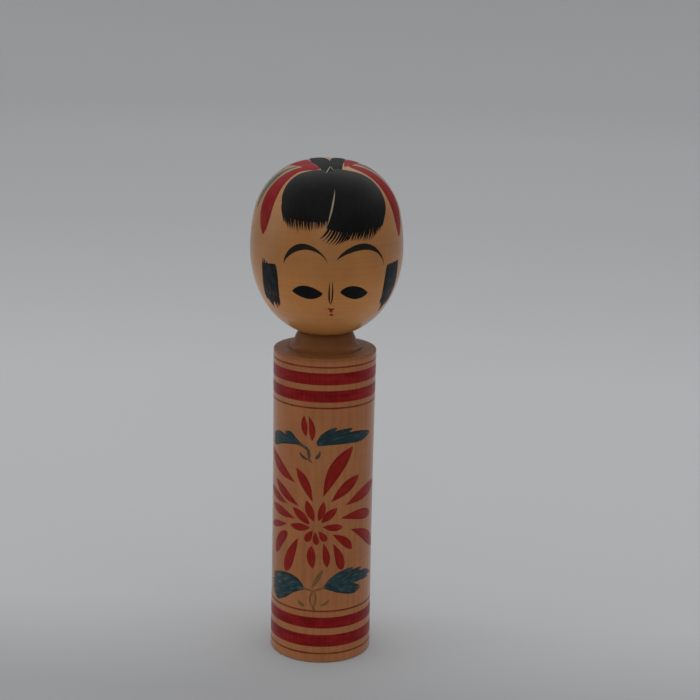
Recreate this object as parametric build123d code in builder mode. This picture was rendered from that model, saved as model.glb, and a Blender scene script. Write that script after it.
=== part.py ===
from build123d import *
import os
from math import cos, radians, sin, sqrt, tan

# Kokeshi doll of 8 sun: a body and a head, each turned from one billet of wood. All sizes in mm.
# The doll stands on the XY plane, its axis is Z, and its front faces -Y.
# The head's neck ends in a bulb, which is pressed through the throat of the body's collar while the
# body spins on the lathe. The pocket below is wider, so the head then turns but can't be lifted off.

os.makedirs("parts", exist_ok=True)

# Body: almost a cylinder, a little narrower at its waist, with its underside dished inside a foot ring
body_height = 152.0
base_radius = 24.6
waist_radius = 24.27
shoulder_radius = 24.54
rim_fillet = 0.9
base_chamfer = 0.5
foot_ring_width = 4.0
dish_depth = 0.8

# Shoulder: almost flat, rising a little from its rim to a low step
shoulder_rise = 0.5
step_radius = 17.8
step_height = 0.7
step_ledge = 0.6
step_fillet = 0.3

# Collar: a hollow flare from the step, then a slightly rounded wall up to the lip under the head
collar_height = 8.4
lip_radius = 12.6
lip_fillet = 0.3
flare_radius = 3.9
flare_foot_slope = 20.0
flare_turn = 56.0

# Head: arcs that flow into each other, from the round chin through cheek and side to the flat crown
head_radius = 36.06
cheek_radius = 50.0
cheek_turn = 29.7
side_radius = 84.0
side_turn = 12.0
crown_radius = 30.7
crown_turn = 72.8

# Joint: the neck runs in the throat, and the bulb is trapped in the pocket
throat_radius = 8.0
throat_length = 6.5
pocket_undercut = 1.1
drill_point_angle = 59.0
bulb_length = 5.5
bulb_tip_radius = 6.8
bulb_tip_length = 3.0
neck_clearance = 0.06
seat_clearance = 0.15
latch_clearance = 0.2
end_clearance = 1.0


def ball_depth(ball_radius, radius):
    """Depth of a ball's surface below its centre, at a radius from the vertical axis through it."""
    return sqrt(ball_radius**2 - radius**2)


# The chin is part of a ball centred on the axis, and the collar's seat is concentric with it
chin_radius = (head_radius - cheek_radius) / cos(radians(cheek_turn)) + cheek_radius
seat_radius = chin_radius + seat_clearance

# Heights, from the shoulder up through the collar's lip to the head's widest line
shoulder_top = body_height + shoulder_rise
step_top = shoulder_top + step_height
lip_height = body_height + collar_height
chin_centre = lip_height + ball_depth(seat_radius, lip_radius)
widest_height = chin_centre + (cheek_radius - chin_radius) * sin(radians(cheek_turn))

# Heights and radii of the joint, from the throat down to the bottom of the pocket
neck_radius = throat_radius - neck_clearance
pocket_radius = throat_radius + pocket_undercut
bulb_radius = pocket_radius - neck_clearance
throat_bottom = chin_centre - ball_depth(seat_radius, throat_radius) - throat_length
pocket_top = throat_bottom - pocket_undercut
neck_bottom = throat_bottom - latch_clearance
bulb_top = neck_bottom - (bulb_radius - neck_radius)
bulb_bottom = bulb_top - bulb_length
tip_bottom = bulb_bottom - bulb_tip_length
pocket_bottom = tip_bottom - end_clearance
drill_point_depth = pocket_radius / tan(radians(drill_point_angle))

# Body: one billet, turned outside and then bored, seat and undercut included
with BuildPart() as body:
    with BuildSketch(Plane.XZ) as billet:
        with BuildLine():
            Polyline((0, lip_height), (0, 0), (base_radius, 0))
            side = ThreePointArc(
                (base_radius, 0),
                (waist_radius, body_height / 2),
                (shoulder_radius, body_height),
            )
            ledge = Polyline(
                side @ 1,
                (step_radius, shoulder_top),
                (step_radius, step_top),
                (step_radius - step_ledge, step_top),
            )
            flare = JernArc(
                start=ledge @ 1,
                tangent=(-cos(radians(flare_foot_slope)), sin(radians(flare_foot_slope))),
                radius=flare_radius,
                arc_size=-flare_turn,
            )
            wall = TangentArc(flare @ 1, (lip_radius, lip_height), tangent=flare % 1)
            Line(wall @ 1, (0, lip_height))
        make_face()
        corners = billet.vertices()
        chamfer(corners.sort_by_distance((base_radius, 0))[0], base_chamfer)
        fillet(corners.sort_by_distance((shoulder_radius, body_height))[0], rim_fillet)
        fillet(corners.sort_by_distance((step_radius, step_top))[0], step_fillet)
        fillet(corners.sort_by_distance((lip_radius, lip_height))[0], lip_fillet)
    revolve(axis=Axis.Z)

    # Socket: the seat dished to the head's own curve, the throat and the undercut pocket
    with BuildSketch(Plane.XZ):
        with BuildLine():
            seat = RadiusArc(
                (throat_radius, chin_centre - ball_depth(seat_radius, throat_radius)),
                (lip_radius, lip_height),
                -seat_radius,
            )
            Polyline(
                seat @ 0,
                (throat_radius, throat_bottom),
                (pocket_radius, pocket_top),
                (pocket_radius, pocket_bottom),
                (0, pocket_bottom - drill_point_depth),
                (0, lip_height),
                seat @ 1,
            )
        make_face()
    revolve(axis=Axis.Z, mode=Mode.SUBTRACT)

    # Underside, dished so that the doll stands on its foot ring
    with BuildSketch(Plane.XZ):
        with BuildLine():
            dish = ThreePointArc(
                (foot_ring_width - base_radius, 0),
                (0, dish_depth),
                (base_radius - foot_ring_width, 0),
            )
            Line(dish @ 1, dish @ 0)
        make_face()
        split(bisect_by=Plane.YZ, keep=Keep.TOP)
    revolve(axis=Axis.Z, mode=Mode.SUBTRACT)

body.part.label = "body"
export_step(body.part, "parts/body.step")

# Head: one billet, with the neck and the bulb turned on its underside
with BuildPart() as head:
    with BuildSketch(Plane.XZ):
        with BuildLine():
            side = JernArc(
                start=(head_radius, widest_height),
                tangent=(0, 1),
                radius=side_radius,
                arc_size=side_turn,
            )
            crown = JernArc(start=side @ 1, tangent=side % 1, radius=crown_radius, arc_size=crown_turn)
            top_turn = 90 - side_turn - crown_turn
            top_radius = (crown @ 1).X / sin(radians(top_turn))
            top = JernArc(start=crown @ 1, tangent=crown % 1, radius=top_radius, arc_size=top_turn)
            cheek = JernArc(
                start=side @ 0,
                tangent=(0, -1),
                radius=cheek_radius,
                arc_size=-cheek_turn,
            )
            chin = RadiusArc(
                cheek @ 1,
                (neck_radius, chin_centre - ball_depth(chin_radius, neck_radius)),
                chin_radius,
            )
            Polyline(
                top @ 1,
                (0, tip_bottom),
                (bulb_tip_radius, tip_bottom),
                (bulb_radius, bulb_bottom),
                (bulb_radius, bulb_top),
                (neck_radius, neck_bottom),
                chin @ 1,
            )
        make_face()
    revolve(axis=Axis.Z)

head.part.label = "head"
export_step(head.part, "parts/head.step")
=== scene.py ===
"""The looks of a turned wooden doll: waxed grain and hand-brushed dyes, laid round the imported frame."""

import logging
import math
import random
from collections.abc import Callable, Sequence
from dataclasses import dataclass, field
from enum import Enum

import bpy
from mathutils import Matrix, Vector


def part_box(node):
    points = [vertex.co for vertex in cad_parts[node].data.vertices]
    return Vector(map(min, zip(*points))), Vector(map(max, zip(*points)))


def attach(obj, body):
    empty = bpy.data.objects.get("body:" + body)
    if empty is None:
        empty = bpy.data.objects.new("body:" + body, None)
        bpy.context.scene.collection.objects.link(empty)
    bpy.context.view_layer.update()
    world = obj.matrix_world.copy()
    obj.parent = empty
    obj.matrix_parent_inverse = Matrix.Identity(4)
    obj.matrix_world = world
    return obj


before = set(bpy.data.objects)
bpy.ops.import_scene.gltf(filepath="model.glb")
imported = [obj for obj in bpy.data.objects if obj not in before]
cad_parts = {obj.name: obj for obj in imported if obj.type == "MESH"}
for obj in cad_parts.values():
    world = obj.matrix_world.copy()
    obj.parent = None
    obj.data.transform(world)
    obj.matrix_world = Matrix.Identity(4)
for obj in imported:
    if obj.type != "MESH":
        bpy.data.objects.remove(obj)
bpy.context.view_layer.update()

MM = 0.001
TO_MM = (1 / MM, 1 / MM, 1 / MM)
SMOOTH_BELOW = math.radians(40)
COLOUR, NUMBER, VECTOR = "NodeSocketColor", "NodeSocketFloat", "NodeSocketVector"
Place = tuple[float, float]
Point = tuple[float, float, float]
Swatch = tuple[int, int, int]
log = logging.getLogger("doll")


def rgba(swatch: Swatch) -> tuple[float, float, float, float]:
    """Turns a swatch colour, each part 0 to 255, into the linear colour that a shader wants."""
    parts = [part / 255 for part in swatch]
    return (*(c / 12.92 if c < 0.04045 else ((c + 0.055) / 1.055) ** 2.4 for c in parts), 1.0)


# ---------------------------------------------------------------- turned forms


@dataclass(frozen=True)
class Arc:
    """One arc of a turned outline, in mm, between two angles in degrees above level."""

    centre_r: float
    centre_z: float
    radius: float
    low: float
    high: float

    def at(self, angle: float) -> tuple[float, float]:
        """Gives the radius and height at an angle on the arc."""
        turn = math.radians(angle)
        return self.centre_r + self.radius * math.cos(turn), self.centre_z + self.radius * math.sin(turn)

    def onward(self, radius: float, turn: float) -> "Arc":
        """Makes the tangent arc that carries on from this one's upper end.

        Args:
            radius: Radius of the next arc.
            turn: How far it turns, in degrees.

        Returns:
            The next arc.
        """
        r, z = self.at(self.high)
        way = math.radians(self.high)
        centre = r - radius * math.cos(way), z - radius * math.sin(way)
        return Arc(*centre, radius, self.high, self.high + turn)

    def to_axis(self, angle: float, end: float) -> "Arc":
        """Makes the tangent ball, centred on the axis, that closes the outline.

        Args:
            angle: Where it leaves this arc, in degrees.
            end: Where it stops, in degrees.

        Returns:
            The closing arc.
        """
        r, z = self.at(angle)
        way = math.radians(angle)
        radius = r / math.cos(way)
        return Arc(0.0, z - radius * math.sin(way), radius, min(angle, end), max(angle, end))

    def gap(self, r: float, z: float) -> tuple[float, float]:
        """Measures how far a point lies from the arc.

        Args:
            r: Distance of the point from the axis.
            z: Height of the point.

        Returns:
            The distance, and the angle of the nearest spot.
        """
        angle = math.degrees(math.atan2(z - self.centre_z, r - self.centre_r))
        angle = min(max(angle, self.low), self.high)
        near_r, near_z = self.at(angle)
        return math.hypot(r - near_r, z - near_z), angle


class Skin:
    """A turned surface that strokes are laid on."""

    def spot(self, across: float, up: float) -> Vector:
        """Gives the place on the wood for the painter's two measures."""
        raise NotImplementedError

    def settle(self, place: Vector, lift: float) -> tuple[Vector, Vector]:
        """Moves a place onto the wood.

        Args:
            place: A point near the surface, in mm.
            lift: How far above the wood it ends, in mm.

        Returns:
            The settled point and the outward direction there.
        """
        raise NotImplementedError


@dataclass
class BodySkin(Skin):
    """The side of the body: across is mm round it from the flower, up is mm of height."""

    base_radius: float = 24.6
    waist_radius: float = 24.27
    shoulder_radius: float = 24.54
    height: float = 152.0
    round_radius: float = 24.4

    def radius(self, z: float) -> tuple[float, float]:
        """Works out the waisted side.

        Args:
            z: Height in mm.

        Returns:
            The radius there, and how fast it grows with height.
        """
        half = self.height / 2
        t = (z - half) / half
        bow = (self.base_radius + self.shoulder_radius) / 2 - self.waist_radius
        lean = (self.shoulder_radius - self.base_radius) / 2
        return self.waist_radius + bow * t * t + lean * t, (2 * bow * t + lean) / half

    def spot(self, across: float, up: float) -> Vector:
        """Gives the place on the body's side."""
        turn, r = across / self.round_radius, self.radius(up)[0]
        return Vector((r * math.sin(turn), -r * math.cos(turn), up))

    def settle(self, place: Vector, lift: float) -> tuple[Vector, Vector]:
        """Moves a place onto the body's side.

        Args:
            place: A point near the surface, in mm.
            lift: How far above the wood it ends, in mm.

        Returns:
            The settled point and the outward direction there.
        """
        radius, slope = self.radius(place.z)
        away = Vector((place.x, place.y, 0.0)).normalized()
        out = Vector((away.x, away.y, -slope)).normalized()
        return Vector((away.x * radius, away.y * radius, place.z)) + out * lift, out


@dataclass
class HeadSkin(Skin):
    """The head: across is degrees round it from the face, up is degrees above the widest line."""

    widest_radius: float = 36.06
    top: float = 242.01
    face_turn: float = 11.0
    cheek_radius: float = 50.0
    cheek_turn: float = 29.7
    side_radius: float = 84.0
    side_turn: float = 12.0
    crown_radius: float = 30.7
    crown_turn: float = 72.8
    neck_angle: float = -76.0
    arcs: list[Arc] = field(default_factory=list)
    middle: float = 0.0
    FIRST_REACH = 38.0
    PASSES = 12
    STEEPEST = 0.2
    SLACK = 0.01

    def __post_init__(self) -> None:
        """Draws the outline from the widest line up and down, and hangs it from the top of the head."""
        side = Arc(self.widest_radius - self.side_radius, 0.0, self.side_radius, 0.0, self.side_turn)
        crown = side.onward(self.crown_radius, self.crown_turn)
        top = crown.to_axis(crown.high, 90.0)
        cheek = Arc(self.widest_radius - self.cheek_radius, 0.0, self.cheek_radius, -self.cheek_turn, 0.0)
        chin = cheek.to_axis(-self.cheek_turn, self.neck_angle)
        self.middle = self.top - top.at(90.0)[1]
        self.arcs = [
            Arc(a.centre_r, a.centre_z + self.middle, a.radius, a.low, a.high)
            for a in (chin, cheek, side, crown, top)
        ]

    def way(self, across: float, up: float) -> Vector:
        """Gives the direction from the head's middle for the painter's two angles."""
        turn, rise = math.radians(across + self.face_turn), math.radians(up)
        return Vector((math.cos(rise) * math.sin(turn), -math.cos(rise) * math.cos(turn), math.sin(rise)))

    def spot(self, across: float, up: float) -> Vector:
        """Finds the place on the head by walking out from its middle.

        Args:
            across: Degrees round the head from the face.
            up: Degrees above the widest line.

        Returns:
            The place on the wood.
        """
        middle, way, reach = Vector((0.0, 0.0, self.middle)), self.way(across, up), self.FIRST_REACH
        for _ in range(self.PASSES):
            point = middle + way * reach
            place, out = self.settle(point, 0.0)
            reach += (place - point).dot(out) / max(way.dot(out), self.STEEPEST)
        return self.settle(middle + way * reach, 0.0)[0]

    def over(self, right: float, back: float) -> Vector:
        """Gives the place on the crown straight below a point seen from above.

        Args:
            right: mm to the face's right as it is looked at.
            back: mm behind the crown's middle.

        Returns:
            The place on the wood.
        """
        turned = Matrix.Rotation(math.radians(self.face_turn), 3, "Z") @ Vector((right, back, 0.0))
        r = math.hypot(right, back)
        height = max(self.height_at(r, arc) for arc in self.arcs[2:])
        return self.settle(Vector((turned.x, turned.y, height)), 0.0)[0]

    def height_at(self, r: float, arc: Arc) -> float:
        """Gives an arc's height over a radius.

        Args:
            r: Distance from the axis.
            arc: One of the head's arcs.

        Returns:
            The height, or that of the head's middle where the arc doesn't reach.
        """
        share = (r - arc.centre_r) / arc.radius
        if not -1.0 <= share <= 1.0:
            return self.middle
        angle = math.degrees(math.acos(share))
        inside = arc.low - self.SLACK <= angle <= arc.high + self.SLACK
        return arc.at(angle)[1] if inside else self.middle

    def settle(self, place: Vector, lift: float) -> tuple[Vector, Vector]:
        """Moves a place onto the head, never above its top.

        Args:
            place: A point near the surface, in mm.
            lift: How far above the wood it ends, in mm.

        Returns:
            The settled point and the outward direction there.
        """
        r = math.hypot(place.x, place.y)
        away = Vector((place.x / r, place.y / r)) if r > 1e-6 else Vector((0.0, -1.0))
        found = ((arc, *arc.gap(r, place.z)) for arc in self.arcs)
        arc, _, angle = min(found, key=lambda one: one[1])
        turn = math.radians(angle)
        near_r, near_z = arc.at(angle)
        out = Vector((away.x * math.cos(turn), away.y * math.cos(turn), math.sin(turn)))
        point = Vector((away.x * near_r, away.y * near_r, near_z)) + out * lift
        point.z = min(point.z, self.top)
        return point, out


# ---------------------------------------------------------------- modelling by hand


def deselect() -> None:
    """Lets go of everything, because an operator acts on all that is selected."""
    bpy.ops.object.select_all(action="DESELECT")


def hold(*objects: bpy.types.Object) -> None:
    """Selects these objects only.

    Args:
        objects: The objects, of which the first becomes the active one.
    """
    deselect()
    for thing in objects:
        thing.select_set(True)
    bpy.context.view_layer.objects.active = objects[0]


def in_edit(thing: bpy.types.Object, *steps: Callable[[], object]) -> None:
    """Runs edit-mode steps on the whole of one object's mesh.

    Args:
        thing: The object to edit.
        steps: Calls that run one after another with everything selected.
    """
    hold(thing)
    bpy.ops.object.mode_set(mode="EDIT")
    bpy.ops.mesh.select_all(action="SELECT")
    for step in steps:
        step()
    bpy.ops.object.mode_set(mode="OBJECT")


def finish_modifier(thing: bpy.types.Object, kind: str, **fields: object) -> None:
    """Adds a modifier with these fields and applies it.

    Args:
        thing: The object that gets it.
        kind: Blender's name of the modifier type.
        fields: The modifier's own settings.
    """
    hold(thing)
    made = thing.modifiers.new(kind.title(), kind)
    for name, value in fields.items():
        setattr(made, name, value)
    bpy.ops.object.modifier_apply(modifier=made.name)


def gather(name: str, parts: Sequence[bpy.types.Object]) -> bpy.types.Object:
    """Joins parts into one piece.

    Args:
        name: The piece's name.
        parts: The objects to join.

    Returns:
        The joined piece.
    """
    hold(*parts)
    if len(parts) > 1:
        bpy.ops.object.join()
    piece = bpy.context.view_layer.objects.active
    piece.name = piece.data.name = name
    return piece


class Line:
    """A smooth line through places, read by its share of the whole length."""

    SHORTEST = 1e-6
    NUDGE = 0.01

    def __init__(self, points: Sequence[Vector]) -> None:
        """Measures the places once, and settles the way the line runs through each.

        Args:
            points: The places, from the line's start to its end.
        """
        self.points = [p.copy() for p in points]
        self.marks = [0.0]
        for a, b in zip(self.points, self.points[1:]):
            self.marks.append(self.marks[-1] + max((b - a).length, self.SHORTEST))
        self.length = self.marks[-1]
        last = len(self.points) - 1
        self.ways: list[Vector] = []
        for i in range(last + 1):
            a, b = max(i - 1, 0), min(i + 1, last)
            self.ways.append((self.points[b] - self.points[a]) / (self.marks[b] - self.marks[a]))
        if last > 1:
            first_leg = (self.points[1] - self.points[0]) / self.marks[1]
            last_leg = (self.points[-1] - self.points[-2]) / (self.marks[-1] - self.marks[-2])
            self.ways[0] = first_leg * 1.5 - self.ways[1] * 0.5
            self.ways[-1] = last_leg * 1.5 - self.ways[-2] * 0.5

    def at(self, share: float) -> Vector:
        """Finds a point on the line.

        Args:
            share: Share of the length, from 0 to 1.

        Returns:
            The point.
        """
        goal = min(max(share, 0.0), 1.0) * self.length
        i = max(k for k in range(len(self.marks) - 1) if self.marks[k] <= goal)
        span = self.marks[i + 1] - self.marks[i]
        t = (goal - self.marks[i]) / span
        a, b = self.points[i], self.points[i + 1]
        return (
            a * (2 * t**3 - 3 * t**2 + 1)
            + self.ways[i] * (span * (t**3 - 2 * t**2 + t))
            + b * (3 * t**2 - 2 * t**3)
            + self.ways[i + 1] * (span * (t**3 - t**2))
        )

    def along(self, share: float) -> Vector:
        """Gives the direction of the line at a share of its length."""
        return (self.at(min(share + self.NUDGE, 1.0)) - self.at(max(share - self.NUDGE, 0.0))).normalized()


@dataclass(frozen=True)
class Bow:
    """A bowed edge, in the painter's two measures.

    It runs from its start to its end and swells by its rise to the left of that way, most at its crest,
    which is a share of the way. The fuller it is, the closer its full number lies to 0.
    """

    start: Place
    end: Place
    rise: float = 0.0
    crest: float = 0.5
    full: float = 0.75

    def at(self, share: float) -> Place:
        """Works out one place on the edge.

        Args:
            share: How far along it, from 0 to 1.

        Returns:
            The place, in the painter's two measures.
        """
        run, climb = self.end[0] - self.start[0], self.end[1] - self.start[1]
        skew = math.log(0.5) / math.log(self.crest)
        swell = self.rise * max(math.sin(math.pi * share**skew), 0.0) ** self.full / math.hypot(run, climb)
        return self.start[0] + run * share - climb * swell, self.start[1] + climb * share + run * swell

    def places(self, steps: int = 10) -> list[Place]:
        """Gives places all along the edge, closer together towards its ends."""
        return [self.at((1.0 - math.cos(math.pi * step / steps)) / 2.0) for step in range(steps + 1)]


class Sweep(Enum):
    """How a stroke swells: where it is widest, and how full its start and its end are."""

    PETAL = (0.60, 1.15, 0.85)
    LENS = (0.50, 0.90, 0.90)
    DROP = (0.70, 1.10, 0.55)
    PAD = (0.50, 0.50, 0.50)
    RIBBON = (0.55, 0.70, 0.90)
    HAIR = (0.22, 0.60, 1.15)
    CURL = (0.35, 0.70, 1.00)

    def width(self, share: float) -> float:
        """Works out how wide a stroke is.

        Args:
            share: Share of the stroke's length, from 0 to 1.

        Returns:
            The width there, as a part of the widest.
        """
        peak, start, end = self.value
        x = share / peak if share < peak else (1.0 - share) / (1.0 - peak)
        return max(1.0 - (1.0 - x) ** 2, 0.0) ** (start if share < peak else end)


@dataclass(frozen=True)
class Fray:
    """The ragged end of a drying brush: its bristles, how far they run past the wash, and how they lean.

    The bristles' roots are buried in the wash. Each bristle's root, tip, lean and width stray by chance.
    """

    bristles: int
    width: float
    reach: float = 0.2
    lean: float = 0.0
    ragged: float = 0.6
    BURIED = 0.12
    ROOT_STRAY = 0.05
    LEAN_STRAY = 0.4
    WIDTHS = (0.75, 1.2)
    LIFT = 0.004


@dataclass
class Brush:
    """Lays strokes of dye on a skin as thin closed meshes that grow out of the wood."""

    skin: Skin
    lift: float = 0.05
    root: float = 0.25
    spacing: float = 1.1
    hand: random.Random = field(default_factory=lambda: random.Random(8))
    laid: list[bpy.types.Object] = field(default_factory=list)
    WELD = 0.002
    SPARE_STEPS = 4
    FEWEST_IN_STROKE = (2, 6)
    FEWEST_IN_WASH = (3, 5)

    def _lay(
        self,
        across: int,
        along: int,
        where: Callable[[float, float], Vector],
        lift: float,
        span: Callable[[float], tuple[float, float]],
    ) -> bpy.types.Object:
        """Lays one flat blank onto the wood.

        Args:
            across: Faces across the stroke.
            along: Faces along the stroke.
            where: Gives a point in mm for a side from -1 to 1 and a share from 0 to 1.
            lift: Height above the wood, on top of the brush's own, in mm.
            span: Gives half the width and the length run so far, in mm, for a share.

        Returns:
            The laid stroke, still open at the back.
        """
        deselect()
        bpy.ops.mesh.primitive_grid_add(x_subdivisions=across, y_subdivisions=along, size=2.0, calc_uvs=True)
        stroke = bpy.context.active_object
        mesh, touch = stroke.data, self.hand.random()
        probe = [where(-0.5, 0.5), where(0.5, 0.5), where(0.0, 0.55), where(0.0, 0.45)]
        out = self.skin.settle(probe[0], 0.0)[1]
        flip = -1.0 if (probe[1] - probe[0]).cross(probe[2] - probe[3]).dot(out) < 0 else 1.0
        marks = []
        for vertex in mesh.vertices:
            side, share = vertex.co.x, (vertex.co.y + 1.0) / 2.0
            half, run = span(share)
            marks.extend((side * half, run, touch))
            vertex.co = self.skin.settle(where(side * flip, share), self.lift + lift)[0] * MM
        note = mesh.attributes.new("dab", "FLOAT_VECTOR", "POINT")
        note.data.foreach_set("vector", marks)
        self.laid.append(stroke)
        return stroke

    def stroke(
        self,
        places: Sequence[Vector],
        width: float,
        sweep: Sweep = Sweep.PETAL,
        lift: float = 0.0,
    ) -> None:
        """Draws the brush once through a few places.

        Args:
            places: Points on the wood, from first touch to last, in mm.
            width: Widest part of the stroke, in mm.
            sweep: How it swells along its length.
            lift: Height above the strokes below it, in mm.
        """
        line = Line(places)

        def share_of(step: float) -> float:
            """Crowds even steps towards both ends of the stroke."""
            return (1.0 - math.cos(math.pi * step)) / 2.0

        def half(step: float) -> float:
            """Gives half the stroke's width at a step."""
            return sweep.width(share_of(step)) * width / 2.0

        def where(side: float, step: float) -> Vector:
            """Gives the point beside the stroke's middle line at a step."""
            middle, out = self.skin.settle(line.at(share_of(step)), 0.0)
            return middle + line.along(share_of(step)).cross(out).normalized() * half(step) * side

        self._lay(
            max(self.FEWEST_IN_STROKE[0], round(width / self.spacing)),
            max(self.FEWEST_IN_STROKE[1], round(line.length / self.spacing)) + self.SPARE_STEPS,
            where,
            lift,
            lambda step: (half(step), share_of(step) * line.length),
        )

    def wash(
        self,
        left: Sequence[Vector],
        right: Sequence[Vector],
        fray: Fray | None = None,
        lift: float = 0.0,
        hem: Sequence[Vector] = (),
    ) -> None:
        """Fills the shape between two edges, each running from the root to the tip.

        Args:
            left: One edge, as points on the wood in mm.
            right: The other edge.
            fray: The ragged end, if the brush ran dry there.
            lift: Height above the strokes below it, in mm.
            hem: The line that the shape ends on, from the first edge to the other, if it isn't straight.
        """
        edges, close = (Line(left), Line(right)), Line(hem) if hem else None
        length = (edges[0].length + edges[1].length) / 2.0
        stop = 1.0 - fray.reach if fray else 1.0

        def breadth(run: float) -> float:
            """Gives the distance between the edges at a share of the way."""
            return (edges[0].at(run) - edges[1].at(run)).length

        def between(part: float, run: float) -> Vector:
            """Finds a point between the two edges, drawn towards the hem as it nears the tip.

            Args:
                part: Part of the way from the first edge to the other.
                run: Share of the way from the root to the tip.

            Returns:
                The point.
            """
            point = edges[0].at(run).lerp(edges[1].at(run), part)
            if close:
                point += (close.at(part) - edges[0].at(1.0).lerp(edges[1].at(1.0), part)) * run**2
            return point

        self._lay(
            max(self.FEWEST_IN_WASH[0], round(max(breadth(run) for run in (0.2, 0.5, 0.8)) / self.spacing)),
            max(self.FEWEST_IN_WASH[1], round(length / self.spacing)),
            lambda side, share: between((side + 1.0) / 2.0, share * stop),
            lift,
            lambda share: (breadth(share) / 2.0, share * length),
        )
        if not fray:
            return
        for i in range(fray.bristles):
            part = (i + 0.5) / fray.bristles
            end = 1.0 - fray.reach * fray.ragged * self.hand.random()
            root = max(stop - fray.BURIED - fray.ROOT_STRAY * self.hand.random(), 0.0)
            lean = fray.lean + self.hand.uniform(-fray.LEAN_STRAY, fray.LEAN_STRAY) / fray.bristles
            runs = [(root + (end - root) * k / 2.0, part + lean * k / 2.0) for k in range(3)]
            self.stroke(
                [between(p, run) for run, p in runs],
                fray.width * self.hand.uniform(*fray.WIDTHS),
                Sweep.HAIR,
                lift + fray.LIFT,
            )

    def lift_off(self, name: str) -> bpy.types.Object:
        """Makes one closed piece of all that was laid since the last piece.

        Args:
            name: The piece's name.

        Returns:
            The finished piece.
        """
        piece = gather(name, self.laid)
        self.laid = []
        in_edit(piece, lambda: bpy.ops.mesh.remove_doubles(threshold=self.WELD * MM))
        finish_modifier(piece, "SOLIDIFY", thickness=(self.root + self.lift) * MM, offset=-1.0)
        hold(piece)
        bpy.ops.object.shade_smooth_by_angle(angle=SMOOTH_BELOW)
        log.info("%s: %d faces", name, len(piece.data.polygons))
        return piece


# ---------------------------------------------------------------- finishes


class Wiring:
    """A node tree with short ways to add nodes and join them."""

    def __init__(self, tree: bpy.types.NodeTree) -> None:
        """Keeps the tree that the nodes go into."""
        self.tree = tree

    def node(self, kind: str, values: dict | None = None, **fields: object) -> bpy.types.Node:
        """Adds a node.

        Args:
            kind: Blender's name of the node type.
            values: What its inputs get, by label or by number.
            fields: The node's own settings.

        Returns:
            The new node.
        """
        made = self.tree.nodes.new(kind)
        for name, value in fields.items():
            setattr(made, name, value)
        for key, value in (values or {}).items():
            self.feed(made.inputs[key], value)
        return made

    def feed(self, socket: bpy.types.NodeSocket, value: object) -> None:
        """Gives an input what it reads.

        Args:
            socket: The input.
            value: A socket that is linked into it, or a plain value that is set on it.
        """
        if isinstance(value, bpy.types.NodeSocket):
            self.tree.links.new(value, socket)
        else:
            socket.default_value = value

    def maths(self, operation: str, a: object, b: object = 0.0, c: object = 0.0) -> bpy.types.NodeSocket:
        """Adds a Math node and gives its result."""
        return self.node("ShaderNodeMath", {0: a, 1: b, 2: c}, operation=operation).outputs[0]

    def times(self, a: object, b: object, plus: object = 0.0) -> bpy.types.NodeSocket:
        """Multiplies two values and adds a third."""
        return self.maths("MULTIPLY_ADD", a, b, plus)

    def less(self, a: object, b: object) -> bpy.types.NodeSocket:
        """Takes the second value from the first."""
        return self.maths("SUBTRACT", a, b)

    def vectors(self, operation: str, values: dict) -> bpy.types.NodeOutputs:
        """Adds a Vector Math node and gives its outputs."""
        return self.node("ShaderNodeVectorMath", values, operation=operation).outputs

    def parts(self, vector: object) -> list[bpy.types.NodeSocket]:
        """Splits a vector into its three parts."""
        return list(self.node("ShaderNodeSeparateXYZ", {0: vector}).outputs)

    def spread(
        self, value: object, low: object, high: object, to_low: float = 0.0, to_high: float = 1.0
    ) -> bpy.types.NodeSocket:
        """Stretches a range of values smoothly onto another, held at both ends."""
        ends = {0: value, 1: low, 2: high, 3: to_low, 4: to_high}
        return self.node("ShaderNodeMapRange", ends, interpolation_type="SMOOTHSTEP").outputs[0]

    def mix(self, share: object, a: object, b: object) -> bpy.types.NodeSocket:
        """Mixes two colours and gives the result."""
        return self.node("ShaderNodeMix", {"Factor": share, 6: a, 7: b}, data_type="RGBA").outputs[2]

    def scaled(self, vector: object, scale: Point, at: Point = (0, 0, 0)) -> bpy.types.NodeSocket:
        """Stretches and shifts coordinates and gives the result."""
        return self.node("ShaderNodeMapping", {"Vector": vector, "Scale": scale, "Location": at}).outputs[0]

    def place(self) -> bpy.types.NodeSocket:
        """Gives the place on the doll, in mm of its own frame."""
        return self.scaled(self.node("ShaderNodeTexCoord").outputs["Object"], TO_MM)

    def noise(self, vector: object, detail: float = 2.0, rough: float = 0.5) -> bpy.types.NodeSocket:
        """Adds soft noise, one bump to a unit, and gives its value."""
        values = {"Vector": vector, "Scale": 1.0, "Detail": detail, "Roughness": rough}
        return self.node("ShaderNodeTexNoise", values).outputs["Fac"]


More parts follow.
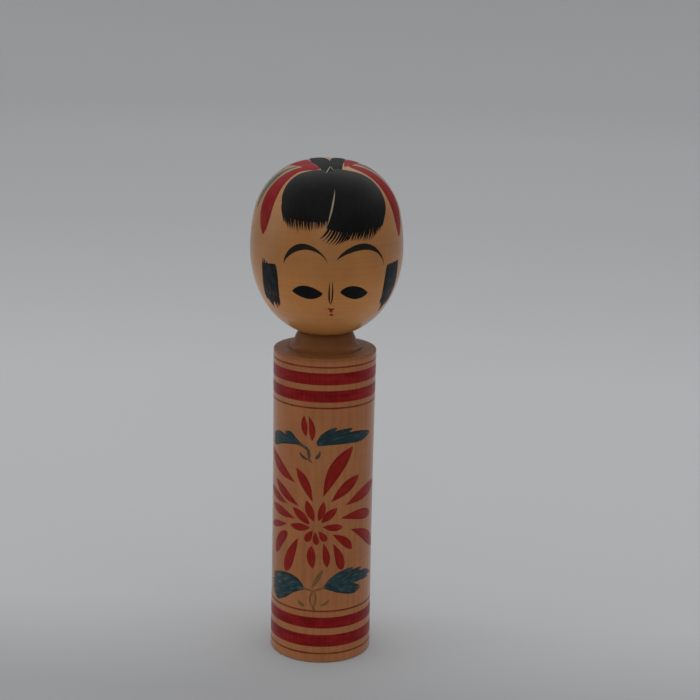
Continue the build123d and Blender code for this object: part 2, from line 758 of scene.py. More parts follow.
class Effect:
    """A shader node group that is built once and shared by the materials that use it."""

    name = ""
    takes: dict[str, tuple[str, ...]] = {}
    gives: dict[str, tuple[str, ...]] = {}

    def tree(self) -> bpy.types.NodeTree:
        """Gives the group, built on first use.

        Returns:
            The group's node tree.
        """
        found = bpy.data.node_groups.get(self.name)
        if found:
            return found
        made = bpy.data.node_groups.new(self.name, "ShaderNodeTree")
        for way, sockets in (("INPUT", self.takes), ("OUTPUT", self.gives)):
            for kind, labels in sockets.items():
                for label in labels:
                    made.interface.new_socket(label, in_out=way, socket_type=kind)
        w = Wiring(made)
        given, end = w.node("NodeGroupInput").outputs, w.node("NodeGroupOutput").inputs
        for label, value in self.build(w, given).items():
            w.feed(end[label], value)
        return made

    def build(self, w: Wiring, given: bpy.types.NodeOutputs) -> dict[str, bpy.types.NodeSocket]:
        """Wires the group's inside.

        Args:
            w: The group's wiring.
            given: The group's inputs.

        Returns:
            What each output gives, by label.
        """
        raise NotImplementedError

    def use(self, w: Wiring, owner: "Finish", **linked: bpy.types.NodeSocket) -> bpy.types.NodeOutputs:
        """Places the group in a material.

        Args:
            w: The material's wiring.
            owner: The finish whose fields are named like the group's inputs and set them.
            linked: Sockets for the inputs that no field sets.

        Returns:
            The group's outputs.
        """
        values = {}
        for kind, labels in self.takes.items():
            for label in labels:
                if label in linked:
                    values[label] = linked[label]
                else:
                    own = getattr(owner, label.lower().replace(" ", "_"))
                    values[label] = rgba(own) if kind == COLOUR else own
        return w.node("ShaderNodeGroup", values, node_tree=self.tree()).outputs


class Grain(Effect):
    """Pale close-grained wood turned on a lathe, in mm of the doll's own frame."""

    name = "turned_grain"
    takes = {
        COLOUR: ("Pale", "Dark", "Soaked"),
        VECTOR: ("Pith",),
        NUMBER: ("Contrast", "Fibre", "Lathe", "Soaked From", "Bleached", "Bleached Below"),
    }
    gives = {COLOUR: ("Colour",), NUMBER: ("Polish", "Relief", "Wax")}
    RING_GAP = 3.4
    RING_SWAY = 9.0
    RING_NARROWING = 2.2
    SOAK_AND_SHADE_EDGE = (-2.4, 0.9)
    PAINTED_UPLIGHT_OVER = 40.0

    def build(self, w: Wiring, given: bpy.types.NodeOutputs) -> dict[str, bpy.types.NodeSocket]:
        """Wires growth rings, fibres, flecks and lathe lines. From one height up it darkens the colour,
        partly soaked end grain and partly painted shade under the head, and below another it brightens the
        colour as painted light from below.

        Args:
            w: The group's wiring.
            given: The group's inputs.

        Returns:
            What each output gives, by label.
        """
        place = w.place()
        from_pith = w.vectors("ADD", {0: place, 1: given["Pith"]})[0]
        distance = w.vectors("LENGTH", {0: w.scaled(from_pith, (1, 1, 0.02))})["Value"]
        sway = w.noise(w.scaled(place, (0.05, 0.05, 0.012)), 1.0)
        wave = w.maths("SINE", w.times(w.times(sway, self.RING_SWAY, distance), math.tau / self.RING_GAP))
        ring = w.maths("POWER", w.times(wave, 0.5, 0.5), self.RING_NARROWING)
        fibre = w.noise(w.scaled(place, (1.5, 1.5, 0.035)), 4.0, 0.6)
        fleck = w.spread(w.noise(w.scaled(place, (4.5, 4.5, 0.30), (7, 3, 1)), 1.0), 0.60, 0.72)
        mottle = w.noise(w.scaled(place, (0.07, 0.07, 0.045), (1, 5, 2)), 3.0)
        lathe = w.noise(w.scaled(place, (0.015, 0.015, 1.5)), 2.0, 0.6)
        strand = w.times(ring, 0.22, w.times(fleck, 0.29, fibre))
        shade = w.times(w.less(strand, 0.61), given["Fibre"])
        for part, share in ((mottle, 0.55), (lathe, given["Lathe"])):
            shade = w.times(w.less(part, 0.5), share, shade)
        shade = w.spread(w.times(shade, given["Contrast"], 0.32), 0.0, 0.75)
        height = w.parts(place)[2]
        # painted shade: the collar and shoulder top darken where the head shades them, partly also soaked end
        # grain
        soak_and_shade_share = w.times(
            w.spread(w.less(height, given["Soaked From"]), *self.SOAK_AND_SHADE_EDGE), w.times(mottle, -0.3, 0.98)
        )
        # painted light from below: the colour brightens downwards from the set height, up to the set share
        below = w.spread(w.less(given["Bleached Below"], height), 0.0, self.PAINTED_UPLIGHT_OVER)
        dry = w.mix(shade, given["Pale"], given["Dark"])
        dry = w.vectors("SCALE", {0: dry, "Scale": w.times(below, given["Bleached"], 1.0)})[0]
        return {
            "Colour": w.mix(soak_and_shade_share, dry, given["Soaked"]),
            "Polish": w.times(w.maths("ADD", fibre, lathe), 0.10, 0.34),
            "Relief": w.times(fibre, 0.5, w.times(lathe, 0.6)),
            "Wax": w.times(soak_and_shade_share, -0.85, 1.0),
        }


class BrushedDye(Effect):
    """Dye brushed on wood: streaks along the stroke, a darker pooled rim and thin dry spots."""

    name = "brushed_dye"
    takes = {
        COLOUR: ("Wood", "Dye", "Rim", "Thin"),
        NUMBER: ("Streak", "Dry", "Dry From", "Rim Width", "Bristle"),
    }
    gives = {COLOUR: ("Colour",), NUMBER: ("Streaks",)}
    RIM_END = 1.1

    def build(self, w: Wiring, given: bpy.types.NodeOutputs) -> dict[str, bpy.types.NodeSocket]:
        """Wires the stroke's own coordinates into rim, streaks and dry spots.

        Args:
            w: The group's wiring.
            given: The group's inputs.

        Returns:
            What each output gives, by label.
        """
        dab = w.node("ShaderNodeAttribute", attribute_name="dab").outputs["Vector"]
        across, along, touch = w.parts(dab)
        side, run, _ = w.parts(w.node("ShaderNodeTexCoord").outputs["UV"])
        combed = {0: w.times(across, given["Bristle"]), 1: w.times(along, 0.16), 2: w.times(touch, 40.0)}
        streaks = w.noise(w.node("ShaderNodeCombineXYZ", combed).outputs[0], 3.0, 0.6)
        pools = w.noise(w.scaled(dab, (0.5, 0.22, 23.0), (4, 1, 2)), 2.0)
        from_middle = w.maths("ABSOLUTE", w.times(side, 2.0, -1.0))
        inner = w.less(self.RIM_END, given["Rim Width"])
        rim = w.spread(w.times(pools, 0.3, from_middle), inner, self.RIM_END)
        thin = w.times(w.spread(w.times(pools, 0.6, streaks), 0.72, 1.02), given["Streak"])
        dry = w.times(w.spread(streaks, 0.50, 0.66), w.spread(run, given["Dry From"], 1.0))
        dry = w.times(dry, given["Dry"])
        colour = w.mix(thin, w.mix(rim, given["Dye"], given["Rim"]), given["Thin"])
        return {"Colour": w.mix(dry, colour, given["Wood"]), "Streaks": streaks}


class BandedDye(Effect):
    """Dye held to the wood as it turns: long streaks that run round the doll."""

    name = "banded_dye"
    takes = {COLOUR: ("Dye", "Rim", "Thin"), NUMBER: ("Streak",)}
    gives = {COLOUR: ("Colour",), NUMBER: ("Streaks",)}

    def build(self, w: Wiring, given: bpy.types.NodeOutputs) -> dict[str, bpy.types.NodeSocket]:
        """Wires streaks by height, soft pools round the body and places worn thin along the fibres.

        Args:
            w: The group's wiring.
            given: The group's inputs.

        Returns:
            What each output gives, by label.
        """
        place = w.place()
        streaks = w.noise(w.scaled(place, (0.03, 0.03, 1.3)), 3.0, 0.6)
        pools = w.noise(w.scaled(place, (0.09, 0.09, 0.25), (3, 1, 4)), 3.0)
        fibres = w.noise(w.scaled(place, (1.6, 1.6, 0.05), (2, 6, 3)), 3.0, 0.6)
        worn = w.times(fibres, 0.9, w.times(streaks, 0.35))
        thin = w.times(w.spread(w.times(pools, 0.5, worn), 0.80, 1.12), given["Streak"])
        colour = w.mix(w.spread(pools, 0.35, 0.60), given["Rim"], given["Dye"])
        return {"Colour": w.mix(thin, colour, given["Thin"]), "Streaks": streaks}


class Finish:
    """A waxed material that is built once and shared by the pieces that wear it.

    Its shine is the specular level under the wax, and its wax is the coat's weight where the surface
    turns away.
    """

    name: str
    shine: float
    wax: float
    BUMP = {"Strength": 0.25, "Distance": 0.04 * MM}
    WAX_ROUGHNESS = 0.30
    WAX_FACING = 0.02
    WAX_FROM = 0.10

    def material(self) -> bpy.types.Material:
        """Gives the material, wired on first use.

        Returns:
            The finished material.
        """
        made = bpy.data.materials.get(self.name)
        if not made:
            made = bpy.data.materials.new(self.name)
            made.use_nodes = True
            made.node_tree.nodes.clear()
            self.wire(Wiring(made.node_tree))
        return made

    def wire(self, w: Wiring) -> None:
        """Wires the finish into an empty material."""
        raise NotImplementedError

    def coat(self, w: Wiring, colour: object, polish: object, relief: object, cover: object) -> None:
        """Ends a material with wax over a colour.

        Args:
            w: The material's wiring.
            colour: Base colour over the surface.
            polish: Roughness over the surface.
            relief: Height for the bump.
            cover: How much of the wax lies over the surface.
        """
        facing = w.node("ShaderNodeLayerWeight").outputs["Facing"]
        coat = w.spread(facing, self.WAX_FROM, 1.0, self.WAX_FACING, self.wax)
        values = {
            "Base Color": colour,
            "Roughness": polish,
            "Normal": w.node("ShaderNodeBump", {**self.BUMP, "Height": relief}).outputs[0],
            "Specular IOR Level": self.shine,
            "Coat Weight": w.times(coat, cover),
            "Coat Roughness": self.WAX_ROUGHNESS,
        }
        body = w.node("ShaderNodeBsdfPrincipled", values)
        w.node("ShaderNodeOutputMaterial", {"Surface": body.outputs[0]})


@dataclass(frozen=True)
class Wood(Finish):
    """Turned wood. From a height up its colour is darker, partly soaked end grain and partly painted shade
    under the head, and below another height it is lighter as painted light from below.
    """

    name: str
    pale: Swatch
    dark: Swatch
    pith: Point
    contrast: float = 1.0
    fibre: float = 0.55
    lathe: float = 0.26
    # colour of the collar and shoulder top: soaked end grain, darkened further as painted shade under the
    # head
    soaked: Swatch = (95, 57, 23)
    soaked_from: float = 1000.0
    # how much the colour brightens towards the foot, and below which height: painted light from below
    bleached: float = 0.0
    bleached_below: float = 0.0
    shine: float = 0.25
    wax: float = 1.0

    def wire(self, w: Wiring) -> None:
        """Wires the bare waxed grain."""
        grain = Grain().use(w, self)
        self.coat(w, grain["Colour"], grain["Polish"], grain["Relief"], grain["Wax"])


@dataclass(frozen=True)
class Dye(Finish):
    """A dye or ink brushed on one wood, under the same wax."""

    name: str
    slot: str
    wood: Wood
    dye: Swatch
    rim: Swatch
    thin: Swatch
    streak: float = 0.5
    dry: float = 0.3
    dry_from: float = 0.55
    bristle: float = 2.6
    rim_width: float = 0.35
    banded: bool = False
    shine: float = 0.07
    wax: float = 0.5
    STREAK_ROUGHNESS = 0.12
    STREAK_RELIEF = 0.3

    def wire(self, w: Wiring) -> None:
        """Wires the dye over its wood's own grain.

        Args:
            w: The material's wiring.
        """
        grain = Grain().use(w, self.wood)
        paint = (BandedDye() if self.banded else BrushedDye()).use(w, self, Wood=grain["Colour"])
        polish = w.times(paint["Streaks"], self.STREAK_ROUGHNESS, grain["Polish"])
        relief = w.times(paint["Streaks"], self.STREAK_RELIEF, grain["Relief"])
        self.coat(w, paint["Colour"], polish, relief, grain["Wax"])

    def dress(self, piece: bpy.types.Object, body: str) -> None:
        """Gives a piece this dye and lets it ride on a body of the frame.

        Args:
            piece: The finished piece.
            body: The frame's body that carries it.
        """
        piece.data.materials.clear()
        piece.data.materials.append(self.material())
        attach(piece, body)


# the body darkens above 151.9 mm: soaked end grain and painted shade under the head
BODY_WOOD = Wood(
    "waxed_wood_body", (162, 106, 67), (134, 82, 51), (46.0, 70.0, 0.0), soaked_from=151.9, shine=0.08
)
# the head brightens below 208 mm as painted light from below
HEAD_WOOD = Wood(
    "waxed_wood_head", (159, 107, 57), (134, 86, 44), (-58.0, 64.0, 0.0),
    contrast=0.9, fibre=0.14, lathe=0.40, wax=0.9, bleached=0.92, bleached_below=208.0,
)


# ---------------------------------------------------------------- the body's painting


class Painting:
    """Brushwork on one body of the frame."""

    skin: Skin
    body = ""

    def edge(self, line: Bow | Sequence[Place], steps: int = 10) -> list[Vector]:
        """Gives the points on the wood along a bowed edge, or at places that are named one by one."""
        return [self.skin.spot(*p) for p in (line.places(steps) if isinstance(line, Bow) else line)]

    def fill(
        self, brush: Brush, one: Bow | Sequence[Place], other: Bow | Sequence[Place],
        fray: Fray | None = None, lift: float = 0.0,
    ) -> None:
        """Fills the shape between two edges."""
        brush.wash(self.edge(one), self.edge(other), fray, lift)

    def keep(self, brush: Brush, name: str, dye: Dye) -> None:
        """Lifts off what the brush laid, dyes it and lets it ride on this painting's body."""
        dye.dress(brush.lift_off(name), self.body)

    def draw(self, brush: Brush, name: str, dye: Dye, strokes: Sequence[tuple]) -> None:
        """Makes one piece of single strokes.

        Args:
            brush: The brush that draws them.
            name: The piece's name.
            dye: What it is dipped in.
            strokes: The places, width, sweep and, where it isn't 0, lift of each stroke.
        """
        for places, *looks in strokes:
            brush.stroke(self.edge(places), *looks)
        self.keep(brush, name, dye)


@dataclass(frozen=True)
class Petal:
    """A petal of the flower, in mm and degrees from its heart, measured up from the right."""

    start: float
    start_turn: float
    tip: float
    tip_turn: float
    width: float
    bow: float = 0.0
    sweep: Sweep = Sweep.PETAL


@dataclass
class BodyPaint(Painting):
    """Everything brushed on the body: bands, flower, buds, leaves and stems."""

    body = "body"
    flower_height: float = 70.25
    line_width: float = 0.8
    band_lift: float = 0.05
    band_root: float = 0.3
    band_steps: int = 144
    band_weld: float = 0.005
    stem_lift: float = 0.03
    red_bands: tuple[Place, ...] = ((8.4, 14.5), (17.9, 23.5), (131.2, 136.8), (139.6, 145.3))
    fine_lines: tuple[float, ...] = (4.85, 26.75, 128.4, 148.1)
    skin: BodySkin = field(default_factory=BodySkin)
    red: Dye = Dye("red_dye_body", "red_dye", BODY_WOOD, (122, 24, 19), (104, 15, 15), (146, 46, 34), 0.5)
    banded: Dye = Dye(
        "red_dye_bands", "red_dye", BODY_WOOD, (124, 18, 20), (108, 13, 16), (140, 38, 33), 0.6, banded=True
    )
    fine: Dye = Dye(
        "red_dye_lines", "red_dye", BODY_WOOD, (112, 46, 22), (98, 38, 18), (134, 70, 40), 0.6, banded=True
    )
    leaf: Dye = Dye(
        "green_dye_upper_leaves", "green_dye", BODY_WOOD, (30, 50, 56), (24, 36, 27), (50, 72, 72),
        0.9, 0.1, rim_width=0.6, bristle=1.5,
    )
    dry_leaf: Dye = Dye(
        "green_dye_lower_leaves", "green_dye", BODY_WOOD, (29, 52, 60), (36, 44, 34), (60, 77, 76),
        0.9, 0.26, dry_from=0.45, rim_width=0.45, bristle=1.2,
    )
    stem: Dye = Dye(
        "green_dye_upper_stems", "green_dye", BODY_WOOD, (66, 60, 48), (52, 48, 38), (96, 78, 56), 0.8, 0.4
    )
    pale_stem: Dye = Dye(
        "green_dye_lower_stems", "green_dye", BODY_WOOD, (104, 79, 48), (84, 65, 40), (124, 90, 56), 0.8, 0.5
    )

    def band(self, low: float, high: float) -> bpy.types.Object:
        """Turns one band of dye round the body.

        Args:
            low: Height of its lower edge, in mm.
            high: Height of its upper edge, in mm.

        Returns:
            The closed ring.
        """
        deselect()
        bpy.ops.mesh.primitive_plane_add(size=1.0)
        ring = bpy.context.active_object
        for vertex in ring.data.vertices:
            z = low if vertex.co.y < 0 else high
            depth = -self.band_root if vertex.co.x < 0 else self.band_lift
            vertex.co = Vector((self.skin.radius(z)[0] + depth, 0.0, z)) * MM
        in_edit(
            ring,
            lambda: bpy.ops.mesh.delete(type="ONLY_FACE"),
            lambda: bpy.ops.mesh.select_all(action="SELECT"),
            lambda: bpy.ops.mesh.spin(
                steps=self.band_steps, angle=math.tau, center=(0, 0, 0), axis=(0, 0, 1), use_auto_merge=True
            ),
            lambda: bpy.ops.mesh.select_all(action="SELECT"),
            lambda: bpy.ops.mesh.remove_doubles(threshold=self.band_weld * MM),
            lambda: bpy.ops.mesh.normals_make_consistent(inside=False),
        )
        return ring

    def bands(self, name: str, edges: Sequence[Place], dye: Dye) -> None:
        """Makes one piece of several bands of the same dye.

        Args:
            name: The piece's name.
            edges: The lower and upper edge of each band, in mm of height.
            dye: What the bands are dyed with.
        """
        piece = gather(name, [self.band(low, high) for low, high in edges])
        hold(piece)
        bpy.ops.object.shade_smooth_by_angle(angle=SMOOTH_BELOW)
        dye.dress(piece, self.body)
        log.info("%s: %d bands", name, len(edges))

    def petals(self, name: str, petals: Sequence[Petal]) -> None:
        """Brushes a ring of petals round the flower's heart.

        Args:
            name: The piece's name.
            petals: The petals, each as the painter places it.
        """
        brush = Brush(self.skin)
        for petal in petals:
            ends = []
            for reach, turn in ((petal.start, petal.start_turn), (petal.tip, petal.tip_turn)):
                way = math.radians(turn)
                ends.append(Vector((reach * math.cos(way), self.flower_height + reach * math.sin(way))))
            run = ends[1] - ends[0]
            middle = (ends[0] + ends[1]) / 2 + Vector((-run.y, run.x)).normalized() * petal.bow
            brush.stroke(self.edge((ends[0], middle, ends[1])), petal.width, petal.sweep)
        self.keep(brush, name, self.red)

    def flower(self) -> None:
        """Brushes the flower's short inner petals and its long outer ones."""
        self.petals(
            "flower_inner_petals",
            [
                Petal(2.4, 111, 13.2, 111, 4.0, 0.3, Sweep.LENS),
                Petal(2.8, 62, 12.8, 73, 3.4, -0.3, Sweep.LENS),
                Petal(3.2, 28, 13.6, 40, 3.9, 0.3, Sweep.LENS),
                Petal(3.2, -8, 13.4, -4, 3.6, -0.3),
                Petal(3.0, -64, 9.3, -58, 3.4, 0.3, Sweep.DROP),
                Petal(3.0, -94, 9.7, -86, 2.9, -0.2, Sweep.DROP),
                Petal(2.8, -118, 9.6, -118, 3.5, -0.4, Sweep.DROP),
                Petal(3.0, -158, 13.6, -174, 3.7, 0.2, Sweep.LENS),
                Petal(3.0, 172, 14.2, 147, 4.0, -0.2, Sweep.LENS),
            ],
        )
        self.petals(
            "flower_outer_petals",
            [
                Petal(23.0, 118, 45.0, 133, 6.0, 0.6),
                Petal(11.8, 98, 29.6, 110, 4.4, -0.7),
                Petal(14.8, 77, 42.5, 65, 6.9, 2.0),
                Petal(13.8, 59, 32.3, 47, 5.5, 0.5),
                Petal(17.4, 34, 41.5, 24, 6.0, 0.7),
                Petal(12.4, 134, 31.4, 143, 4.4, 0.3),
                Petal(18.0, 151, 34.5, 157, 4.2, 0.2),
                Petal(11.0, 168, 29.2, 170, 4.6, -0.3),
                Petal(15.6, -175, 31.0, -170, 3.4),
                Petal(12.6, 16, 32.4, 3, 5.4, 1.1, Sweep.DROP),
                Petal(17.6, -9, 41.2, -24, 5.6, 1.6),
                Petal(9.2, -29, 22.9, -35, 4.2, 0.9),
                Petal(16.4, -160, 30.4, -143, 5.4, -1.2, Sweep.PAD),
                Petal(11.2, -141, 30.2, -122, 5.3, -0.6, Sweep.DROP),
                Petal(10.4, -101, 21.8, -93, 4.3, -0.4, Sweep.LENS),
                Petal(9.4, -66, 21.8, -75, 3.5, 0.5),
                Petal(12.6, -47, 26.2, -60, 4.5, 0.7, Sweep.DROP),
            ],
        )

    def buds(self) -> None:
        """Brushes the two red petals of the opening bud over the flower."""
        petals = (
            (Bow((-6.5, 124.2), (-5.2, 114.2), -0.5).places(2), 3.1, Sweep.LENS),
            (Bow((-4.2, 124.4), (-2.5, 112.3), 0.9).places(2), 3.0, Sweep.PETAL),
        )
        self.draw(Brush(self.skin), "bud_petals", self.red, petals)

    def leaves(self) -> None:
        """Brushes the two pairs of leaves, each of a few dabs that end in teeth."""
        brush = Brush(self.skin)
        upper = (
            (
                Bow((-4.2, 108.7), (-17.9, 114.5), -2.3, 0.75, 1.0),
                Bow((-4.3, 108.1), (-17.2, 113.6), 1.5, 0.7),
            ),
            (
                Bow((-10.4, 110.9), (-28.6, 110.8), -3.1, 0.6, 1.2),
                Bow((-9.4, 109.8), (-29.4, 107.0), 1.7, 0.84, 1.0),
                Fray(7, 1.3, 0.10),
                0.01,
            ),
            (Bow((0.2, 110.0), (9.5, 118.9), 2.7, 0.42, 0.6), Bow((0.3, 109.8), (9.5, 118.5), -0.4)),
            (
                Bow((3.0, 112.9), (17.4, 118.0), 2.2, 0.42, 1.0),
                Bow((3.6, 111.6), (17.4, 117.5), -1.3, 0.45, 1.0),
                None,
                0.01,
            ),
            (
                Bow((0.6, 110.1), (29.7, 114.0), 3.9, 0.5, 0.8),
                Bow((0.5, 109.9), (29.9, 113.2), -1.7, 0.75, 1.0),
                None,
                0.02,
            ),
        )
        lower = (
            (
                ((-5.0, 37.9), (-8.8, 42.6), (-15.6, 44.1), (-23.4, 42.2), (-30.6, 38.0)),
                ((-5.0, 37.4), (-10.6, 35.0), (-16.2, 30.9), (-21.8, 28.8), (-28.0, 31.2)),
                Fray(15, 1.3, 0.18, 0.02, 0.9),
            ),
            (
                ((3.8, 38.9), (8.2, 44.4), (13.8, 47.2), (19.4, 47.8)),
                ((3.9, 38.7), (9.4, 41.4), (14.6, 44.4), (19.4, 46.8)),
            ),
            (
                ((5.0, 39.2), (12.6, 44.4), (18.6, 46.4), (26.2, 46.4)),
                ((4.8, 38.8), (11.4, 39.4), (18.4, 42.2), (25.6, 45.0)),
                Fray(5, 1.0, 0.16),
                0.01,
            ),
            (
                ((8.0, 40.6), (17.0, 44.2), (27.4, 44.4), (38.0, 41.4)),
                ((8.0, 38.8), (17.6, 39.4), (27.0, 39.6), (37.4, 38.2)),
                Fray(7, 1.1, 0.24, 0.0, 0.9),
                0.02,
            ),
            (
                ((4.4, 38.8), (11.0, 40.4), (18.6, 39.6), (26.2, 36.8)),
                ((4.4, 38.5), (11.6, 35.9), (18.8, 34.2), (25.0, 34.8)),
                Fray(6, 1.0, 0.2),
                0.03,
            ),
        )
        for dab in upper:
            self.fill(brush, *dab)
        vein = ((0.3, 110.0), (3.6, 112.6), (9.0, 115.4))
        self.draw(brush, "upper_leaves", self.leaf, [(vein, 2.4, Sweep.LENS, 0.03)])
        for dab in lower:
            self.fill(brush, *dab)
        self.keep(brush, "lower_leaves", self.dry_leaf)

    def stems(self) -> None:
        """Brushes the stems, the closed bud and the curled roots in thin olive."""
        brush, lift = Brush(self.skin), self.stem_lift
        upper = (
            (Bow((-10.2, 110.6), (-4.0, 106.0), 1.0, 0.6).places(3), 1.0, Sweep.CURL, lift),
            (Bow((-4.6, 108.8), (-3.7, 102.8), 0.3).places(2), 1.6, Sweep.LENS, lift),
            (Bow((-8.6, 106.3), (-3.8, 103.0), -1.0).places(3), 1.3, Sweep.LENS, lift),
            (Bow((1.5, 107.8), (-0.7, 103.6), 0.7).places(2), 1.6, Sweep.DROP, lift),
            (Bow((-4.4, 103.5), (-1.9, 101.3)).places(2), 1.0, Sweep.HAIR, lift),
        )
        lower = (
            (((4.0, 48.2), (1.4, 43.8), (-1.5, 38.4)), 2.2, Sweep.LENS, lift),
            (((-7.6, 38.2), (-3.8, 37.6), (-0.7, 36.9)), 1.0, Sweep.LENS, lift),
            (((6.0, 39.4), (2.4, 38.3), (-0.6, 37.0)), 1.0, Sweep.LENS, lift),
            (((-0.8, 37.4), (-2.3, 32.8), (-1.0, 28.6)), 0.9, Sweep.LENS, lift),
            (((-0.6, 37.4), (0.6, 33.2), (-0.6, 28.4)), 0.8, Sweep.LENS, lift),
            (((-1.0, 29.6), (-0.2, 27.6), (2.2, 26.5)), 0.9, Sweep.HAIR, lift),
            (((-8.2, 31.9), (-7.2, 30.0), (-5.0, 29.2)), 1.8, Sweep.DROP, lift),
            (((7.2, 33.0), (5.4, 30.8), (2.6, 29.8)), 1.1, Sweep.LENS, lift),
        )
        self.draw(brush, "upper_stems", self.stem, upper)
        self.draw(brush, "lower_stems", self.pale_stem, lower)

    def build(self) -> None:
        """Paints the body from the bands inwards."""
        half = self.line_width / 2
        self.bands("red_bands", self.red_bands, self.banded)
        self.bands("fine_lines", [(z - half, z + half) for z in self.fine_lines], self.fine)
        self.flower()
        self.buds()
        self.leaves()
        self.stems()


# ---------------------------------------------------------------- the head's painting


@dataclass
class HeadPaint(Painting):
    """Everything brushed on the head: hair, ribbons, sidelocks and the face."""

    body = "head"
    skin: HeadSkin = field(default_factory=HeadSkin)
    black: Dye = Dye(
        "black_ink_hair", "black_ink", HEAD_WOOD, (10, 10, 9), (7, 7, 6), (20, 20, 19),
        0.7, 0.0, shine=0.06, wax=0.8,
    )
    # the knot's ink is lighter and greyer than the hair's: black ink with a painted sheen of the top light
    knot_ink_and_sheen: Dye = Dye(
        "black_ink_knot_and_sheen", "black_ink", HEAD_WOOD, (22, 24, 23), (15, 17, 16), (36, 38, 36),
        0.8, 0.0, shine=0.03, wax=0.12,
    )
    # bare wood, coloured paler and greyer than the head's wood as a painted highlight
    slit: Dye = Dye(
        "bare_wood_and_glint", "turned_wood", HEAD_WOOD, (140, 124, 100), (112, 98, 78), (158, 142, 116), dry=0.0
    )
    brow: Dye = Dye(
        "black_ink_brows", "black_ink", HEAD_WOOD, (26, 23, 18), (16, 13, 9), (40, 35, 27), 0.6, 0.2
    )
    eye: Dye = Dye(
        "black_ink_eyes", "black_ink", HEAD_WOOD, (14, 15, 17), (16, 14, 12), (24, 26, 29), 0.5, 0.1
    )
    side: Dye = Dye(
        "black_ink_sidelocks", "black_ink", HEAD_WOOD, (17, 20, 23), (16, 16, 16), (44, 51, 55),
        0.8, 0.6, wax=0.2,
    )
    line: Dye = Dye(
        "black_ink_nose", "black_ink", HEAD_WOOD, (40, 30, 21), (34, 26, 18), (60, 44, 30), 0.6, 0.4
    )
    red: Dye = Dye(
        "red_dye_head", "red_dye", HEAD_WOOD, (115, 12, 18), (97, 9, 14), (134, 32, 28),
        0.6, shine=0.04, wax=0.25,
    )
    lips: Dye = Dye(
        "red_dye_lips", "red_dye", HEAD_WOOD, (142, 24, 18), (126, 20, 14), (150, 40, 28), 0.4, 0.0
    )
    green: Dye = Dye(
        "green_dye_head", "green_dye", HEAD_WOOD, (40, 74, 66), (34, 58, 50), (84, 108, 88), 0.9, 0.5
    )
    HAIR_SEEDS = (21, 5)
    HAIR_LIFT = 0.02
    HAIR_STRAY = 0.25
    TIP_STRAY = 0.006
    LONGEST = 1.04
    WIDTHS = (0.8, 1.25)

    def crown_edge(self, bow: Bow, steps: int = 10) -> list[Vector]:
        """Gives the points on the crown along a bowed edge in mm, as seen from above."""
        return [self.skin.over(*p) for p in bow.places(steps)]

    def forelock(self) -> None:
        """Combs the forelock down from the crown in two halves, with a bare parting between them."""
        brush = Brush(self.skin)
        left_corner, left_point = (-41.5, 33.5), (-3.0, 28.5)
        right_corner, right_point = (45.0, 27.5), (-4.5, 24.0)
        left_slit = Bow((2.8, 49.0), left_point, -0.3)
        right_slit = Bow((2.9, 48.8), right_point, 1.2)
        # bare parting: bare wood dyed paler and greyer than the head's wood as a painted highlight
        self.fill(brush, left_slit, right_slit, lift=-0.02)
        self.keep(brush, "bare_parting", self.slit)
        brush.wash(
            self.edge(Bow((-1.0, 68.0), left_corner, -21.5, 0.73, 0.45)),
            self.edge([(3.0, 67.4), (2.9, 57.0), *left_slit.places()]),
            hem=self.edge(Bow(left_corner, left_point, -3.6, 0.36)),
        )
        brush.wash(
            self.edge([(2.8, 67.4), (2.9, 57.0), *right_slit.places()]),
            self.edge(Bow((5.0, 67.6), right_corner, 24.0, 0.69, 0.47)),
            lift=0.01,
            hem=self.edge(Bow(right_point, right_corner, -5.0, 0.48, 0.85)),
        )
        self.keep(brush, "forelock", self.black)

    def hair_row(
        self, brush: Brush, hand: random.Random, ends: tuple[Bow, Bow], count: int, looks: Place
    ) -> None:
        """Draws a row of fine hairs.

        Args:
            brush: The brush that draws them.
            hand: Where their unevenness comes from.
            ends: The edge that their roots start from and the edge that their tips reach.
            count: How many hairs there are.
            looks: Their usual width in mm, and the least share of the way that a hair may run.
        """
        top, low = (Line(self.edge(end)) for end in ends)
        width, least = looks
        for i in range(count):
            share = (i + 0.5 + hand.uniform(-self.HAIR_STRAY, self.HAIR_STRAY)) / count
            root, tip = top.at(share), low.at(share + hand.uniform(-self.TIP_STRAY, self.TIP_STRAY))
            tip = root.lerp(tip, hand.uniform(least, self.LONGEST))
            places = [root, root.lerp(tip, 0.5), tip]
            brush.stroke(places, width * hand.uniform(*self.WIDTHS), Sweep.HAIR, self.HAIR_LIFT)

    def hairs(self) -> None:
        """Draws the fine hairs that run out of the forelock's two halves."""
        stroke_hand, hand = (random.Random(seed) for seed in self.HAIR_SEEDS)
        brush = Brush(self.skin, hand=stroke_hand)
        left = Bow((-44.5, 38.5), (-3.5, 30.5), -4.5, 0.33, 1.0), Bow((-40.0, 29.0), (-4.0, 25.0), -7.8, 0.42)
        right = Bow((13.5, 24.0), (48.5, 33.0), -3.3, 0.43), Bow((9.5, 14.0), (42.5, 22.5), -4.4, 0.57, 1.3)
        self.hair_row(brush, hand, left, 32, (0.70, 0.80))
        self.hair_row(brush, hand, right, 25, (0.74, 0.80))
        # the long clumps next to the parting, swept across the brow
        widths = (1.2, 0.8, 1.3, 1.0, 0.9, 1.3, 1.2, 1.1, 0.9)
        roots, tips = Bow((-1.0, 26.5), (15.5, 23.0)), Bow((-9.5, 16.0), (9.0, 14.5), -3.4, 0.5, 1.0)
        for i, width in enumerate(widths):
            share = i / (len(widths) - 1)
            clump = Bow(roots.at(share), tips.at(share), 1.1)
            brush.stroke(self.edge(clump, 2), width, Sweep.HAIR, 0.03 + 0.01 * (2 * i % 3))
        self.keep(brush, "forelock_hairs", self.black)

